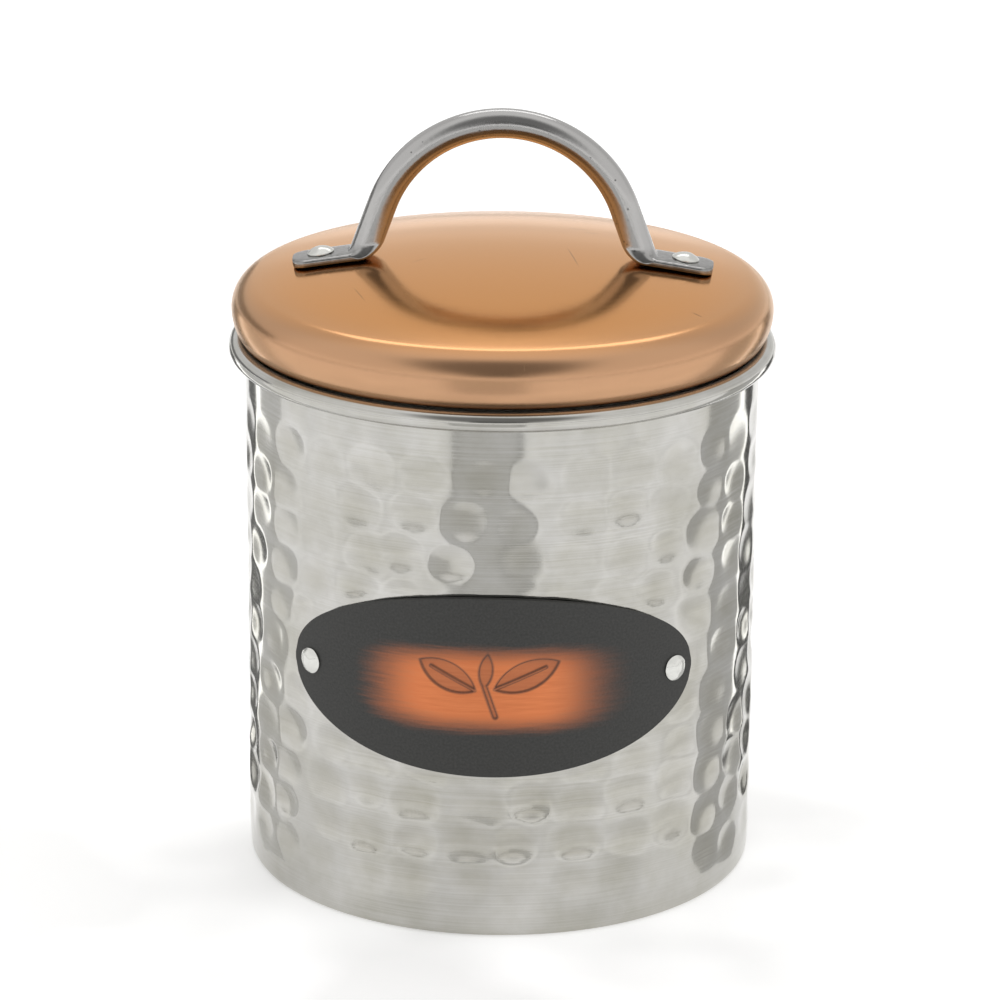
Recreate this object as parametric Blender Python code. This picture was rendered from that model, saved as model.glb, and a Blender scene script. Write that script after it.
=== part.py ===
"""A hammered steel tea caddy with a riveted oval plaque and a copper-faced plug lid.

Metres, +Z up. The origin is on the axis, on the surface that the caddy stands on. The plaque
faces -Y and the handle runs along X. The lid's pieces hang on an empty at the crest of the
rolled rim, so their own heights count from there.
"""

from math import acos, asin, atan2, cos, pi, radians, sin, sqrt

import bmesh
import bpy
from mathutils import Matrix, Vector

GAP = 0.0003  # left between neighbours that touch on the real caddy
ROUND_STEPS = 48  # facets round the caddy's axis
RIVET_STEPS = 16  # facets round a rivet's axis
SHARP = radians(35)  # edges that turn more than this stay sharp
DRILL_LENGTH = 0.0100  # of the cutters for the rivet holes

# The canister: one drawn cup of sheet steel
WALL_RADIUS = 0.0570
BODY_HEIGHT = 0.1211
SHEET = 0.0006
FOOT_BAND = 0.0110  # height over which the wall draws in towards the foot
FOOT_DRAW_IN = 0.0004
FOOT_CORNER = 0.0020
STAND_RING = 0.0046  # width of the flat ring that it stands on
BASE_RISE = 0.0018  # how far the base is pushed up inside the ring
BASE_SLOPE = 0.0030
RIM_ROLL = 0.00215  # outer radius of the rolled rim
RIM_SWEEP = radians(300)

# The plaque: an oval of copper sheet bent to the wall
PLAQUE_LENGTH = 0.0950  # round the wall
PLAQUE_HEIGHT = 0.0408
PLAQUE_SHEET = 0.0010
PLAQUE_MIDDLE = 0.0588  # height of its centre
PLAQUE_RIVET_REACH = 0.0425  # from its centre to a rivet, round the wall
PLAQUE_COLUMNS = 28

# The lid cover: a spun dome with its edge turned in
LID_OVERHANG = 0.0029  # how far its widest place passes the wall
LID_EDGE_OVERHANG = 0.0008  # the same for its bottom edge
LID_SHEET = 0.0006
LID_RISE = 0.0188  # crown above the rim
LID_WIDEST = 0.0066  # height of the widest place above the rim
LID_SHOULDER = 0.0065  # shoulder radius

# The skirt: a steel ring that plugs the mouth and holds the seal
SKIRT_ROOM = 0.0019  # between it and the canister's wall
SKIRT_SHEET = 0.0006
SKIRT_DEPTH = 0.0130
SKIRT_FLANGE = 0.0027  # how far its flange reaches over the cover's edge
GROOVE_TOP = 0.0040  # depth below the rim
GROOVE_HEIGHT = 0.0050
GROOVE_DEPTH = 0.0014
GROOVE_SLOPE = 0.0008

# The seal: a silicone ring with two lips
SEAL_BODY = 0.0013
SEAL_LIP = 0.0004

# The handle: a rod bent to an arch, with its ends flattened into feet
ROD_DIAMETER = 0.0066
ARCH_RADIUS = 0.0283  # to the middle of the rod
HANDLE_TOP = 0.0512  # above the rim
LEG_LEAN = radians(70)  # how far round the arch the legs begin
HEEL_INNER = 0.0006  # bend radii between a leg and its foot
HEEL_OUTER = 0.0065
HANDLE_FOOT_WIDTH = 0.0100
HANDLE_FOOT_SHEET = 0.0020
HANDLE_FOOT_TIP = 0.0067  # from its rivet to its end
HANDLE_FOOT_ROUND = 0.0030  # radius of the corners at its end
HANDLE_FOOT_SQUARE = 5.0  # superellipse exponent of its section, where a round rod has 2
TIP_SWEEP = radians(80)  # how much of the corners' quarter turn is drawn
HANDLE_RIVET_REACH = 0.0395  # from the axis to a rivet
HANDLE_SIDES = 12
ARCH_STEPS = 12
LEG_STEPS = 4
HEEL_STEPS = 7
TIP_STEPS = 4

# The rivets and their washers
SHANK_RADIUS = 0.0015
HANDLE_HEAD_RADIUS = 0.0030
HANDLE_HEAD_RISE = 0.0015
PLAQUE_HEAD_RADIUS = 0.00285
PLAQUE_HEAD_RISE = 0.0012
HEAD_EDGE = 0.0003
TAIL_RADIUS = 0.0022
TAIL_RISE = 0.0008
WASHER_RADIUS = 0.0034
WASHER_SHEET = 0.0007

# What follows from them
WALL_INSIDE = WALL_RADIUS - SHEET
SKIRT_RADIUS = WALL_INSIDE - SKIRT_ROOM
HOLE_RADIUS = SHANK_RADIUS + GAP
LID_WIDEST_RADIUS = WALL_RADIUS + LID_OVERHANG
CROWN_REACH = LID_WIDEST_RADIUS - LID_SHOULDER
CROWN_DROP = LID_RISE - LID_WIDEST
CROWN_RADIUS = (CROWN_REACH**2 + CROWN_DROP**2 - LID_SHOULDER**2) / (2 * (CROWN_DROP - LID_SHOULDER))
FOOT_TILT = asin(HANDLE_RIVET_REACH / CROWN_RADIUS)  # the crown's slope under a foot


def clear_scene():
    for thing in list(bpy.data.objects):
        bpy.data.objects.remove(thing, do_unlink=True)


def finish(name, colour, metallic, roughness):
    """A Principled material."""
    material = bpy.data.materials.new(name)
    material.use_nodes = True
    shader = material.node_tree.nodes["Principled BSDF"]
    shader.inputs["Base Color"].default_value = (*colour, 1)
    shader.inputs["Metallic"].default_value = metallic
    shader.inputs["Roughness"].default_value = roughness
    return material


def add_object(name, bm, material, parent=None):
    """The bmesh as an object, smooth but for its sharp edges."""
    bmesh.ops.recalc_face_normals(bm, faces=bm.faces)
    mesh = bpy.data.meshes.new(name)
    bm.to_mesh(mesh)
    bm.free()
    mesh.shade_smooth()
    mesh.set_sharp_from_angle(angle=SHARP)
    mesh.materials.append(material)
    thing = bpy.data.objects.new(name, mesh)
    thing.parent = parent
    bpy.context.scene.collection.objects.link(thing)
    return thing


def turned(outline, steps=ROUND_STEPS):
    """A solid of revolution about Z. Its outline of (radius, height) points is a loop, or starts
    and ends on the axis."""
    bm = bmesh.new()
    points = [bm.verts.new((radius, 0, height)) for radius, height in outline]
    for a, b in zip(points, points[1:]):
        bm.edges.new((a, b))
    if outline[0][0] > 0:
        bm.edges.new((points[-1], points[0]))
    bmesh.ops.spin(
        bm,
        geom=bm.verts[:] + bm.edges[:],
        cent=(0, 0, 0),
        axis=(0, 0, 1),
        angle=2 * pi,
        steps=steps,
        use_merge=True,
        use_duplicate=False,
    )
    bmesh.ops.remove_doubles(bm, verts=bm.verts, dist=1e-6)
    return bm


def arc(centre, radius, start, end, steps):
    """Points round an arc, with its angles counted from +radius towards +height."""
    turn = (end - start) / steps
    return [
        (centre[0] + radius * cos(start + turn * i), centre[1] + radius * sin(start + turn * i))
        for i in range(steps + 1)
    ]


def sheet_section(face, sheet):
    """The closed section of a sheet whose one face is this line. The sheet lies on its right."""
    line = [Vector(p) for p in face]
    runs = [(b - a).normalized() for a, b in zip(line, line[1:])]
    rights = [Vector((run.y, -run.x)) for run in runs]
    other = []
    for i, point in enumerate(line):
        before, after = rights[max(i - 1, 0)], rights[min(i, len(rights) - 1)]
        middle = (before + after).normalized()
        other.append(point + middle * (sheet / middle.dot(after)))
    back = [(0.0 if start[0] == 0 else p.x, p.y) for start, p in zip(face, other)]
    return list(face) + back[::-1]


def drill_hole(thing, name, place, parent=None):
    """Drills a rivet hole along this place's Z axis."""
    bm = bmesh.new()
    bmesh.ops.create_cone(
        bm,
        cap_ends=True,
        segments=RIVET_STEPS,
        radius1=HOLE_RADIUS,
        radius2=HOLE_RADIUS,
        depth=DRILL_LENGTH,
    )
    drill = add_object(name, bm, None, parent)
    drill.matrix_local = place
    drill.hide_render = True
    drill.display_type = "WIRE"
    hole = thing.modifiers.new(name, "BOOLEAN")
    hole.operation = "DIFFERENCE"
    hole.solver = "EXACT"
    hole.object = drill


def handle_rivet_place(side):
    """On the crown's outer face, with Z out of it."""
    point = Vector((side * sin(FOOT_TILT), 0, cos(FOOT_TILT))) * CROWN_RADIUS
    lift = Vector((0, 0, LID_RISE - CROWN_RADIUS))
    return Matrix.Translation(point + lift) @ Matrix.Rotation(side * FOOT_TILT, 4, "Y")


def plaque_rivet_place(side):
    """On the wall's outer face, with Z out of it."""
    turn = side * PLAQUE_RIVET_REACH / WALL_RADIUS
    point = Vector((sin(turn) * WALL_RADIUS, -cos(turn) * WALL_RADIUS, PLAQUE_MIDDLE))
    return Matrix.Translation(point) @ Matrix.Rotation(turn, 4, "Z") @ Matrix.Rotation(pi / 2, 4, "X")


def make_canister_body(material):
    """A cup with its base pushed up, a soft foot corner and its rim rolled outwards."""
    foot = WALL_INSIDE - FOOT_DRAW_IN
    ring_outside = foot + SHEET - FOOT_CORNER
    ring_inside = ring_outside - STAND_RING
    corner = arc((ring_outside, FOOT_CORNER), FOOT_CORNER - SHEET, -pi / 2, 0, 3)
    roll_middle = (WALL_INSIDE + RIM_ROLL, BODY_HEIGHT - RIM_ROLL)
    face = [
        (0.0, BASE_RISE + SHEET),
        (ring_inside - BASE_SLOPE, BASE_RISE + SHEET),
        (ring_inside, SHEET),
        *corner,
        (WALL_INSIDE, FOOT_BAND),
        *arc(roll_middle, RIM_ROLL, pi, pi - RIM_SWEEP, 8),
    ]
    body = add_object("canister_body", turned(sheet_section(face, SHEET)), material)
    for side, word in ((-1, "left"), (1, "right")):
        drill_hole(body, f"wall_hole_{word}", plaque_rivet_place(side))


def make_plaque(material):
    """A strip of upright columns, drawn in to an oval, given its thickness and bent to the wall."""
    bm = bmesh.new()
    bmesh.ops.create_grid(bm, x_segments=PLAQUE_COLUMNS, y_segments=1, size=1)
    for v in bm.verts:
        along = pi / 2 * v.co.x
        v.co = (sin(along) * PLAQUE_LENGTH / 2, v.co.y * cos(along) * PLAQUE_HEIGHT / 2, GAP)
    bmesh.ops.remove_doubles(bm, verts=bm.verts, dist=1e-6)
    bmesh.ops.solidify(bm, geom=bm.faces[:], thickness=-PLAQUE_SHEET)
    for v in bm.verts:
        turn = v.co.x / WALL_RADIUS
        radius = WALL_RADIUS + v.co.z
        v.co = (sin(turn) * radius, -cos(turn) * radius, PLAQUE_MIDDLE + v.co.y)
    plaque = add_object("plaque", bm, material)
    for side, word in ((-1, "left"), (1, "right")):
        drill_hole(plaque, f"plaque_hole_{word}", plaque_rivet_place(side))


def rivet_outline(head, head_rise, head_seat, tail_seat):
    """A domed head on a shank, with a formed tail. Heights count from the sheet's outer face."""
    ball = (head**2 + (head_rise - HEAD_EDGE) ** 2) / (2 * (head_rise - HEAD_EDGE))
    start = acos(head / ball)
    dome = arc((0, head_seat + head_rise - ball), ball, start, pi / 2, 4)
    return [
        (0.0, tail_seat - TAIL_RISE),
        (TAIL_RADIUS - TAIL_RISE / 2, tail_seat - TAIL_RISE),
        (TAIL_RADIUS, tail_seat - TAIL_RISE / 2),
        (TAIL_RADIUS, tail_seat),
        (SHANK_RADIUS, tail_seat),
        (SHANK_RADIUS, head_seat),
        (head, head_seat),
        *dome[:-1],
        (0.0, head_seat + head_rise),
    ]


def washer_outline(seat):
    return [
        (HOLE_RADIUS, seat - WASHER_SHEET),
        (WASHER_RADIUS, seat - WASHER_SHEET),
        (WASHER_RADIUS, seat),
        (HOLE_RADIUS, seat),
    ]


def make_plaque_fixings(material):
    """A rivet through the plaque and the wall at each end, on a washer inside."""
    head_seat = GAP + PLAQUE_SHEET + GAP
    sagitta = WALL_INSIDE - sqrt(WALL_INSIDE**2 - WASHER_RADIUS**2)
    washer_seat = -SHEET - GAP - sagitta
    tail_seat = washer_seat - WASHER_SHEET - GAP
    outline = rivet_outline(PLAQUE_HEAD_RADIUS, PLAQUE_HEAD_RISE, head_seat, tail_seat)
    for side, word in ((-1, "left"), (1, "right")):
        rivet = add_object(f"plaque_rivet_{word}", turned(outline, RIVET_STEPS), material)
        rivet.matrix_local = plaque_rivet_place(side)
        washer = turned(washer_outline(washer_seat), RIVET_STEPS)
        washer = add_object(f"plaque_washer_{word}", washer, material)
        washer.matrix_local = plaque_rivet_place(side)


def make_lid_cover(material, lid):
    """A dome of tangent arcs: crown, shoulder, side drawing in, and a hem turned in below."""
    tangent = atan2(CROWN_REACH, CROWN_RADIUS - CROWN_DROP)
    crown = arc((0, LID_RISE - CROWN_RADIUS), CROWN_RADIUS, pi / 2, pi / 2 - tangent, 4)
    shoulder = arc((CROWN_REACH, LID_WIDEST), LID_SHOULDER, pi / 2 - tangent, 0, 4)
    fall = LID_WIDEST - GAP
    draw_in = LID_OVERHANG - LID_EDGE_OVERHANG
    side_radius = (fall**2 + draw_in**2) / (2 * draw_in)
    side_turn = asin(fall / side_radius)
    side = arc((LID_WIDEST_RADIUS - side_radius, LID_WIDEST), side_radius, 0, -side_turn, 3)
    face = [(0.0, LID_RISE), *crown[1:], *shoulder[1:], *side[1:], (SKIRT_RADIUS + GAP, GAP)]
    cover = add_object("lid_cover", turned(sheet_section(face, LID_SHEET)), material, lid)
    for hand, word in ((-1, "left"), (1, "right")):
        drill_hole(cover, f"cover_hole_{word}", handle_rivet_place(hand), lid)


def make_lid_skirt(material, lid):
    """A ring with a groove rolled in for the seal. Its flange rests on the cover's hem."""
    low = -GROOVE_TOP - GROOVE_HEIGHT
    seat = GAP + LID_SHEET + GAP
    face = [
        (SKIRT_RADIUS, -SKIRT_DEPTH),
        (SKIRT_RADIUS, low),
        (SKIRT_RADIUS - GROOVE_DEPTH, low + GROOVE_SLOPE),
        (SKIRT_RADIUS - GROOVE_DEPTH, -GROOVE_TOP - GROOVE_SLOPE),
        (SKIRT_RADIUS, -GROOVE_TOP),
        (SKIRT_RADIUS, seat),
        (SKIRT_RADIUS + SKIRT_FLANGE, seat),
    ]
    section = sheet_section(face[::-1], SKIRT_SHEET)
    add_object("lid_skirt", turned(section), material, lid)


def make_seal_ring(material, lid):
    """A band in the groove, with two lips that reach to the wall."""
    inside = SKIRT_RADIUS - GROOVE_DEPTH + GAP
    body = inside + SEAL_BODY
    reach = WALL_INSIDE - GAP
    low = -GROOVE_TOP - GROOVE_HEIGHT + GROOVE_SLOPE + GAP
    high = -GROOVE_TOP - GROOVE_SLOPE - GAP
    middle = (low + high) / 2
    outline = [
        (inside, low),
        (body, low),
        (reach, low + SEAL_LIP),
        (reach, low + 2 * SEAL_LIP),
        (body, low + SEAL_LIP),
        (body, middle),
        (reach, middle + SEAL_LIP),
        (reach, middle + 2 * SEAL_LIP),
        (body, middle + SEAL_LIP),
        (body, high),
        (inside, high),
    ]
    add_object("seal_ring", turned(outline), material, lid)


def smooth_step(x):
    return x * x * (3 - 2 * x)


def handle_sections():
    """One half of the handle from the top of the arch to a foot's end. Each section gives its
    upper edge, its lower edge, its width and how square it is."""
    arch_middle = Vector((0, HANDLE_TOP - ROD_DIAMETER / 2 - ARCH_RADIUS))
    crown_middle = Vector((0, LID_RISE - CROWN_RADIUS))
    round_rod = Vector((ROD_DIAMETER, 2.0))
    flat_foot = Vector((HANDLE_FOOT_WIDTH, HANDLE_FOOT_SQUARE))

    def out(lean):
        """Out of the rod's upper side, where that leans this far from upright."""
        return Vector((sin(lean), cos(lean)))

    def crossing(leg_reach, foot_reach):
        """Where a line along the leg meets a line along the foot."""
        a, b = out(LEG_LEAN), out(FOOT_TILT)
        across = a.x * b.y - a.y * b.x
        x = (leg_reach * b.y - foot_reach * a.y) / across
        return Vector((x, (foot_reach * a.x - leg_reach * b.x) / across))

    sections = []
    for i in range(ARCH_STEPS + 1):
        lean = LEG_LEAN * i / ARCH_STEPS
        reach = ARCH_RADIUS + ROD_DIAMETER / 2
        top = arch_middle + out(lean) * reach
        sections.append((top, top - out(lean) * ROD_DIAMETER, *round_rod))

    leg_top = sections[-1][0].dot(out(LEG_LEAN))
    foot_low = crown_middle.dot(out(FOOT_TILT)) + CROWN_RADIUS + GAP
    inner = crossing(leg_top + HEEL_INNER, foot_low + HANDLE_FOOT_SHEET + HEEL_INNER)
    outer = crossing(leg_top - ROD_DIAMETER + HEEL_OUTER, foot_low + HEEL_OUTER)
    bend = []
    for i in range(HEEL_STEPS + 1):
        share = i / HEEL_STEPS
        lean = LEG_LEAN + (FOOT_TILT - LEG_LEAN) * share
        size = round_rod.lerp(flat_foot, smooth_step(share))
        bend.append((inner - out(lean) * HEEL_INNER, outer - out(lean) * HEEL_OUTER, *size))
    for i in range(1, LEG_STEPS):
        share = i / LEG_STEPS
        ends = [a.lerp(b, share) for a, b in zip(sections[ARCH_STEPS][:2], bend[0][:2])]
        sections.append((*ends, *round_rod))
    sections += bend

    along = Vector((cos(FOOT_TILT), -sin(FOOT_TILT)))
    rivet = crown_middle + out(FOOT_TILT) * (CROWN_RADIUS + GAP)
    for i in range(TIP_STEPS + 1):
        turn = TIP_SWEEP * i / TIP_STEPS
        low = rivet + along * (HANDLE_FOOT_TIP - HANDLE_FOOT_ROUND * (1 - sin(turn)))
        width = HANDLE_FOOT_WIDTH - 2 * HANDLE_FOOT_ROUND * (1 - cos(turn))
        sections.append((low + out(FOOT_TILT) * HANDLE_FOOT_SHEET, low, width, flat_foot.y))
    return sections


def section_points(side, top, low, width, square):
    """A superellipse across the rod."""
    middle, lift = (top + low) / 2, (top - low) / 2
    points = []
    for i in range(HANDLE_SIDES):
        angle = 2 * pi * (i + 0.5) / HANDLE_SIDES
        c, s = cos(angle), sin(angle)
        size = (abs(c) ** square + abs(s) ** square) ** (-1 / square)
        point = middle + lift * (s * size)
        points.append(Vector((side * point.x, c * size * width / 2, point.y)))
    return points


def make_handle(material, lid):
    """One foot's end is a face, which is extruded section by section to the other foot's end."""
    half = handle_sections()
    sections = [section_points(-1, *section) for section in half[:0:-1]]
    sections += [section_points(1, *section) for section in half]
    bm = bmesh.new()
    start = [bm.verts.new(point) for point in sections[0]]
    end = bm.faces.new(start)
    for points in sections[1:]:
        end = bmesh.ops.extrude_discrete_faces(bm, faces=[end])["faces"][0]
        for v, point in zip(end.verts, points):
            v.co = point
    bm.faces.new(start)
    handle = add_object("handle", bm, material, lid)
    for side, word in ((-1, "left"), (1, "right")):
        drill_hole(handle, f"foot_hole_{word}", handle_rivet_place(side), lid)


def make_handle_fixings(material, lid):
    """A rivet through each foot and the cover, on a washer under the cover."""
    head_seat = GAP + HANDLE_FOOT_SHEET + GAP
    washer_seat = -LID_SHEET - GAP
    tail_seat = washer_seat - WASHER_SHEET - GAP
    outline = rivet_outline(HANDLE_HEAD_RADIUS, HANDLE_HEAD_RISE, head_seat, tail_seat)
    for side, word in ((-1, "left"), (1, "right")):
        rivet = add_object(f"handle_rivet_{word}", turned(outline, RIVET_STEPS), material, lid)
        rivet.matrix_local = handle_rivet_place(side)
        washer = turned(washer_outline(washer_seat), RIVET_STEPS)
        washer = add_object(f"handle_washer_{word}", washer, material, lid)
        washer.matrix_local = handle_rivet_place(side)


def build():
    clear_scene()
    steel = finish("brushed_steel", (0.52, 0.51, 0.47), 1.0, 0.25)
    copper = finish("copper_finish", (0.60, 0.32, 0.15), 1.0, 0.28)
    patina = finish("blackened_copper", (0.06, 0.06, 0.055), 0.6, 0.5)
    silicone = finish("silicone", (0.55, 0.55, 0.53), 0.0, 0.5)

    make_canister_body(steel)
    make_plaque(patina)
    make_plaque_fixings(steel)

    lid = bpy.data.objects.new("lid_axis", None)
    lid.location = (0, 0, BODY_HEIGHT)
    bpy.context.scene.collection.objects.link(lid)
    make_lid_cover(copper, lid)
    make_lid_skirt(steel, lid)
    make_seal_ring(silicone, lid)
    make_handle(steel, lid)
    make_handle_fixings(steel, lid)


build()
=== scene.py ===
"""The looks of a hammered steel tea caddy with a copper lid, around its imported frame. Metres, +Z up."""

import random
from math import asin, atan2, cos, pi, radians, sin, sqrt

import bmesh
import bpy
from mathutils import Matrix, Vector, kdtree, noise


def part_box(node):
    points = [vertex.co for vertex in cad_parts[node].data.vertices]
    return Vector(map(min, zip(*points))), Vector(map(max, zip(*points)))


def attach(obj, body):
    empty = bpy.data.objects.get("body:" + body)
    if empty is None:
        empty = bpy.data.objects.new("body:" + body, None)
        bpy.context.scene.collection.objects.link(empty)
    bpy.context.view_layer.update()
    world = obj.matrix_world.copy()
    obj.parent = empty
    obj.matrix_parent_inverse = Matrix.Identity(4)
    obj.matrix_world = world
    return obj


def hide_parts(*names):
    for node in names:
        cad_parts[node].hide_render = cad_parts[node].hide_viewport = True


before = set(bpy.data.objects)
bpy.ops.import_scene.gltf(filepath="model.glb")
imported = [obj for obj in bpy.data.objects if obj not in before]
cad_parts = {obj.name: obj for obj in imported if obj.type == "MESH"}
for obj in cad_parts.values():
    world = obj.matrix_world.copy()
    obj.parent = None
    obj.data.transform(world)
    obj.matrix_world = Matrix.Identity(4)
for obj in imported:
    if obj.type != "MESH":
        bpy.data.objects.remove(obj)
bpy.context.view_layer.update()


# ------------------------------------------------------------------ the canister
# One cup drawn from 0.6 mm stainless sheet. Its wall is hammered from outside with a round-faced
# hammer, row by row, between a plain band at the foot and one under the rim, which is rolled
# outwards. A belt brushed it round afterwards, and hardly reached into the hollows.

SHEET = 0.0006
RIM_ROLL = 0.00215  # radius of the rolled rim
RIM_TURN = radians(300)
FOOT_CORNER = 0.0020
FOOT_DRAW_IN = 0.0004
FOOT_BAND = 0.0110
STAND_RING = 0.0046
BASE_RISE = 0.0018
BASE_SLOPE = 0.0030
AROUND = 440  # steps of the spin: 0.8 mm on the wall
UPWARD_OUTSIDE = 126  # steps up the wall, finer on the hammered face
UPWARD_INSIDE = 30
SECTORS = 8  # copies that make up a full spin

body_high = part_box("canister_body")[1]
rim_height = body_high.z
wall_inside = body_high.x - 2 * RIM_ROLL
wall_radius = wall_inside + SHEET
plaque_low, plaque_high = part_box("plaque")
plaque_middle = (plaque_low.z + plaque_high.z) / 2

BLOW_SEED = 11
BLOW_ROWS = 11
BLOW_LOWEST = 0.0122  # height of the lowest row's middle
BLOW_ROW_PITCH = 0.0093
BLOWS_IN_A_ROW = 30
BLOW_DRIFT = 0.12  # how far each row is turned on from the one below, in blows
BLOW_HALF_WIDTH = 0.0066
BLOW_HALF_HEIGHT = 0.0054
BLOW_DEPTH = 0.00080
BLOW_STRENGTHS = (0.80, 1.35, 1.38, 1.30, 1.15, 1.00, 0.90, 0.85, 0.85, 0.85, 0.75)  # row by row
BLOW_EDGE = 1.5  # the higher, the softer a blow runs out at its edge
BLOW_SCATTER = 0.0011
BLOW_SCATTER_UP = BLOW_SCATTER * 0.6
BLOW_SIZES = (0.86, 1.12)  # least and most, against the half width and half height
BLOW_FORCES = (0.55, 1.15)  # least and most, against the depth
BLOWS_FELT = 6  # how many of the nearest blows can move a point
BLOW_MERGE = 3  # the higher, the sharper the ridge between two blows
WAVE_HEIGHT = 0.00010  # slow unevenness left in the wall
WAVES_PER_METRE = 90
WAVE_FADE = 0.012
BAND_EDGE = 0.003  # left plain over the foot and under the rim
WALL_SLACK = (0.0010, 0.0002)  # what still counts as wall, inwards and outwards of it
PLAQUE_SHADOW_REACH = 0.0480  # the wall is hammered lightly where the plaque will lie
PLAQUE_SHADOW_RISE = 0.0235
PLAQUE_SHADOW_EDGE = 0.8
PLAQUE_SHADOW_FORCE = 0.25
MOUTH_WEIGHT = 0.4  # how far height counts, against reach, in telling inside from outside


def colour(code):
    """A linear colour from an sRGB hex value."""
    parts = [int(code[i : i + 2], 16) / 255 for i in (1, 3, 5)]
    return (*[p / 12.92 if p <= 0.04045 else ((p + 0.055) / 1.055) ** 2.4 for p in parts], 1)


def new_material(name):
    material = bpy.data.materials.new(name)
    material.use_nodes = True
    return material


def feed(material, node, links):
    """Gives a node's inputs, by name or number, a value or another node's output."""
    for key, value in links.items():
        socket = node.inputs[int(key[1:]) if key[1:].isdigit() else key.replace("_", " ")]
        if isinstance(value, bpy.types.NodeSocket):
            material.node_tree.links.new(value, socket)
        else:
            socket.default_value = value


def add_node(material, kind, settings=None, out=0, **links):
    """Adds a shader node with its settings and links, and returns one of its outputs."""
    node = material.node_tree.nodes.new("ShaderNode" + kind)
    for key, value in (settings or {}).items():
        setattr(node, key, value)
    feed(material, node, links)
    return node.outputs[out]


def dress(material, **links):
    """Sets the material's own shader, and returns the material."""
    feed(material, material.node_tree.nodes["Principled BSDF"], links)
    return material


def arc(centre, radius, start, end, steps):
    """Points round an arc, with its angles counted from +radius towards +height."""
    turn = (end - start) / steps
    return [
        (centre[0] + radius * cos(start + turn * i), centre[1] + radius * sin(start + turn * i))
        for i in range(steps + 1)
    ]


def straight(start, end, steps):
    """Points along a line, without its ends."""
    a, b = Vector(start), Vector(end)
    return [tuple(a.lerp(b, i / steps)) for i in range(1, steps)]


def sheet_section(face, sheet):
    """The closed section of a sheet whose one face is this line. The sheet lies on its right."""
    line = [Vector(p) for p in face]
    runs = [(b - a).normalized() for a, b in zip(line, line[1:])]
    rights = [Vector((run.y, -run.x)) for run in runs]
    back = []
    for i, point in enumerate(line):
        before, after = rights[max(i - 1, 0)], rights[min(i, len(rights) - 1)]
        middle = (before + after).normalized()
        moved = point + middle * (sheet / middle.dot(after))
        back.append((0.0 if point.x == 0 else moved.x, moved.y))
    return [tuple(p) for p in face] + back[::-1]


def spun(outline, steps):
    """A bmesh turned about Z from a section of (radius, height) points. It is spun through an
    eighth of the turn, and the other eighths are turned copies, which is much quicker."""
    bm = bmesh.new()
    points = [bm.verts.new((radius, 0, height)) for radius, height in outline]
    for a, b in zip(points, points[1:]):
        bm.edges.new((a, b))
    if outline[0][0] > 0:
        bm.edges.new((points[-1], points[0]))
    axis = dict(cent=(0, 0, 0), axis=(0, 0, 1))
    whole = bm.verts[:] + bm.edges[:]
    bmesh.ops.spin(bm, geom=whole, **axis, angle=2 * pi / SECTORS, steps=steps // SECTORS)
    sector = bm.verts[:] + bm.edges[:] + bm.faces[:]
    for i in range(1, SECTORS):
        copy = bmesh.ops.duplicate(bm, geom=sector)["geom"]
        verts = [part for part in copy if isinstance(part, bmesh.types.BMVert)]
        turn = Matrix.Rotation(2 * pi * i / SECTORS, 3, "Z")
        bmesh.ops.rotate(bm, verts=verts, cent=(0, 0, 0), matrix=turn)
    bmesh.ops.remove_doubles(bm, verts=bm.verts, dist=1e-7)
    bmesh.ops.recalc_face_normals(bm, faces=bm.faces)
    return bm


def add_piece(name, bm, material, body, slot, *nodes, sharp=40):
    """The bmesh as a smooth-shaded piece that rides on a body and stands for CAD nodes."""
    mesh = bpy.data.meshes.new(name)
    bm.to_mesh(mesh)
    bm.free()
    mesh.shade_smooth()
    mesh.set_sharp_from_angle(angle=radians(sharp))
    mesh.materials.append(material)
    piece = bpy.data.objects.new(name, mesh)
    bpy.context.scene.collection.objects.link(piece)
    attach(piece, body)
    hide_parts(*nodes)
    return piece


def hammer_blows():
    """Each blow's place on the unrolled wall, its half width and half height, and its depth."""
    rng = random.Random(BLOW_SEED)
    girth = 2 * pi * wall_radius
    blows = []
    for row in range(BLOW_ROWS):
        for k in range(BLOWS_IN_A_ROW):
            along = (k + BLOW_DRIFT * row) / BLOWS_IN_A_ROW * girth + rng.gauss(0, BLOW_SCATTER)
            height = BLOW_LOWEST + row * BLOW_ROW_PITCH + rng.gauss(0, BLOW_SCATTER_UP)
            size = rng.uniform(*BLOW_SIZES)
            depth = BLOW_DEPTH * rng.uniform(*BLOW_FORCES) * BLOW_STRENGTHS[row]
            blows.append((along % girth, height, BLOW_HALF_WIDTH * size, BLOW_HALF_HEIGHT * size, depth))
    return blows


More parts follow.
